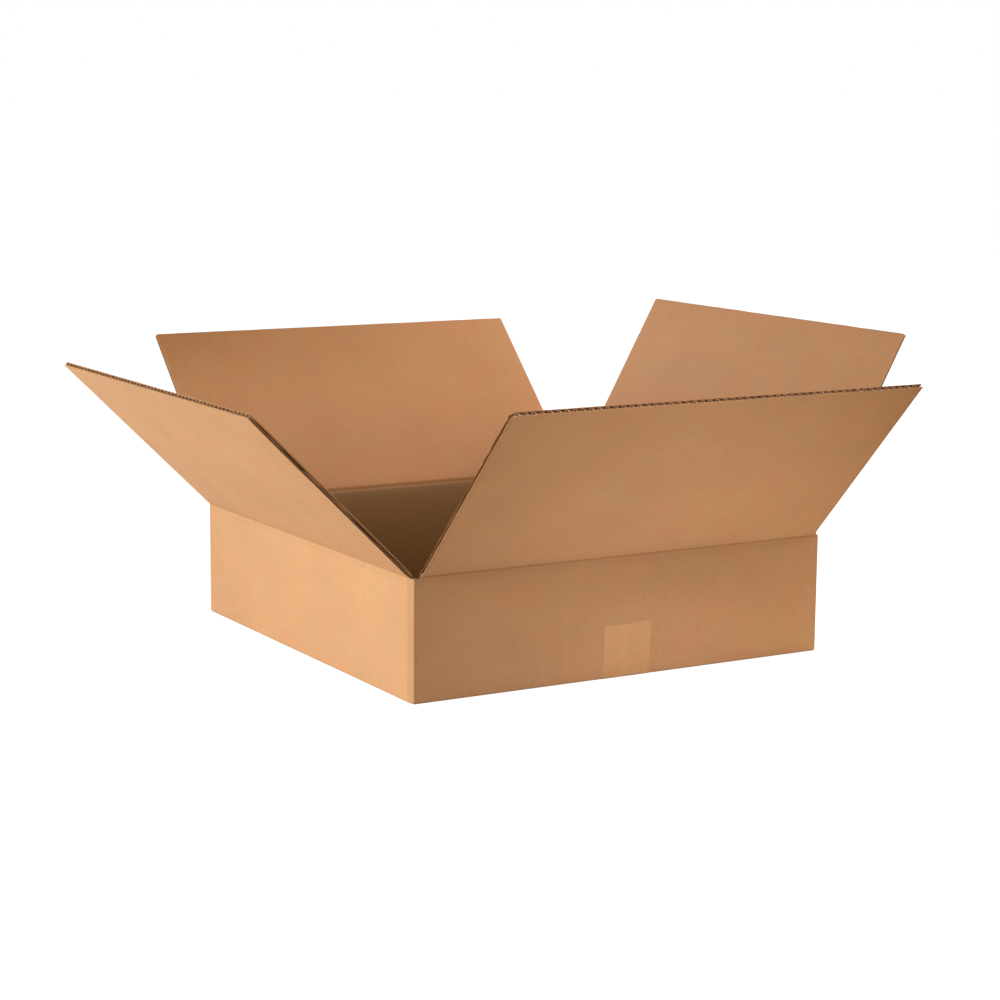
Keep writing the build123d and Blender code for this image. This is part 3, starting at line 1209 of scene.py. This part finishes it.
def aimed(heading, tilt, roll):
    """Turn of a camera that looks along a heading from +Y towards +X, tilted down and rolled."""
    forward = Vector((sin(heading) * cos(tilt), cos(heading) * cos(tilt), -sin(tilt)))
    right = Vector((cos(heading), -sin(heading), 0.0))
    up = right.cross(forward)
    turned_right = right * cos(roll) + up * sin(roll)
    turned_up = up * cos(roll) - right * sin(roll)
    return Matrix((turned_right, turned_up, -forward)).transposed()


def soft_light(name, place, target, width, height, power, colour):
    """A rectangular light that faces a point."""
    light = bpy.data.lights.new(name, "AREA")
    light.shape = "RECTANGLE"
    light.size = width
    light.size_y = height
    light.energy = power
    light.color = colour
    lamp = bpy.data.objects.new(name, light)
    lamp.location = place
    lamp.rotation_euler = (Vector(target) - Vector(place)).to_track_quat("-Z", "Y").to_euler()
    bpy.context.scene.collection.objects.link(lamp)


class CARTON_OT_studio(bpy.types.Operator):
    """Make the floor, the lights and the camera"""

    bl_idname = "carton.studio"
    bl_label = "Studio"

    def execute(self, context):
        scene = context.scene
        studio = scene.carton_studio
        edge = np.linspace(-floor_reach, floor_reach, 13)
        x, y = np.meshgrid(edge, edge)
        near = np.stack([x, y, np.full_like(x, -floor_drop)], axis=-1)
        pile = Pile()
        pile.add(near, near - (0, 0, floor_thickness), sheet_grid(x, y), 0)
        floor = pile.build("studio_floor", [found_or_made("studio_floor", floor_finish)])

        aim = (0.0, 0.0, 0.1)
        soft_light("key_light", (-3.0, -0.5, 1.1), aim, 2.2, 1.7, studio.key_power, (1.0, 1.0, 1.0))
        soft_light("back_light", (2.4, 0.2, 1.4), aim, 1.6, 1.4, studio.back_power, (1.0, 0.8, 0.62))
        soft_light("front_light", (2.2, -1.9, 1.0), aim, 1.2, 1.0, studio.front_power, (1.0, 1.0, 0.85))
        soft_light("high_light", (1.0, -1.7, 2.2), aim, 1.4, 1.2, studio.high_power, (1.0, 0.7, 0.5))

        world = bpy.data.worlds.new("studio_surroundings")
        world.use_nodes = True
        tree = world.node_tree
        background = tree.nodes["Background"]
        background.inputs["Color"].default_value = (1.0, 0.9, 0.75, 1.0)
        background.inputs["Strength"].default_value = studio.sky
        backdrop = tree.nodes.new("ShaderNodeBackground")
        backdrop.inputs["Color"].default_value = (1.0, 1.0, 1.0, 1.0)
        backdrop.inputs["Strength"].default_value = 1.0
        path = tree.nodes.new("ShaderNodeLightPath")
        choice = tree.nodes.new("ShaderNodeMixShader")
        tree.links.new(path.outputs["Is Camera Ray"], choice.inputs[0])
        tree.links.new(background.outputs[0], choice.inputs[1])
        tree.links.new(backdrop.outputs[0], choice.inputs[2])
        tree.links.new(choice.outputs[0], tree.nodes["World Output"].inputs["Surface"])
        scene.world = world
        scene.view_settings.view_transform = "Standard"

        lens = bpy.data.cameras.new("studio_camera")
        lens.sensor_fit = "HORIZONTAL"
        lens.sensor_width = 36.0
        lens.lens = studio.lens
        lens.clip_end = 100.0
        camera = bpy.data.objects.new("studio_camera", lens)
        turned = aimed(camera_heading, camera_tilt, camera_roll).to_4x4()
        camera.matrix_world = Matrix.Translation(camera_place) @ turned
        scene.collection.objects.link(camera)
        scene.camera = camera
        return {"FINISHED"}


steps = (CARTON_OT_walls, CARTON_OT_bottom, CARTON_OT_top_flaps, CARTON_OT_tape, CARTON_OT_studio)


class CARTON_PT_panel(bpy.types.Panel):
    """Lists the carton's steps in the sidebar"""

    bl_label = "Corrugated carton"
    bl_space_type = "VIEW_3D"
    bl_region_type = "UI"
    bl_category = "Carton"

    def draw(self, context):
        for step in steps:
            self.layout.operator(step.bl_idname)
        for group in (context.scene.carton_sizes, context.scene.carton_colours, context.scene.carton_studio):
            for name in group.__annotations__:
                self.layout.prop(group, name)


groups = (CartonSizes, CartonColours, CartonStudio)


def register():
    for kind in groups + steps + (CARTON_PT_panel,):
        bpy.utils.register_class(kind)
    bpy.types.Scene.carton_sizes = bpy.props.PointerProperty(type=CartonSizes)
    bpy.types.Scene.carton_colours = bpy.props.PointerProperty(type=CartonColours)
    bpy.types.Scene.carton_studio = bpy.props.PointerProperty(type=CartonStudio)


def unregister():
    del bpy.types.Scene.carton_studio
    del bpy.types.Scene.carton_colours
    del bpy.types.Scene.carton_sizes
    for kind in reversed(groups + steps + (CARTON_PT_panel,)):
        bpy.utils.unregister_class(kind)


def main():
    register()
    bpy.ops.carton.walls()
    bpy.ops.carton.bottom()
    bpy.ops.carton.top_flaps()
    bpy.ops.carton.tape()
    bpy.ops.carton.studio()


if __name__ == "__main__":
    main()
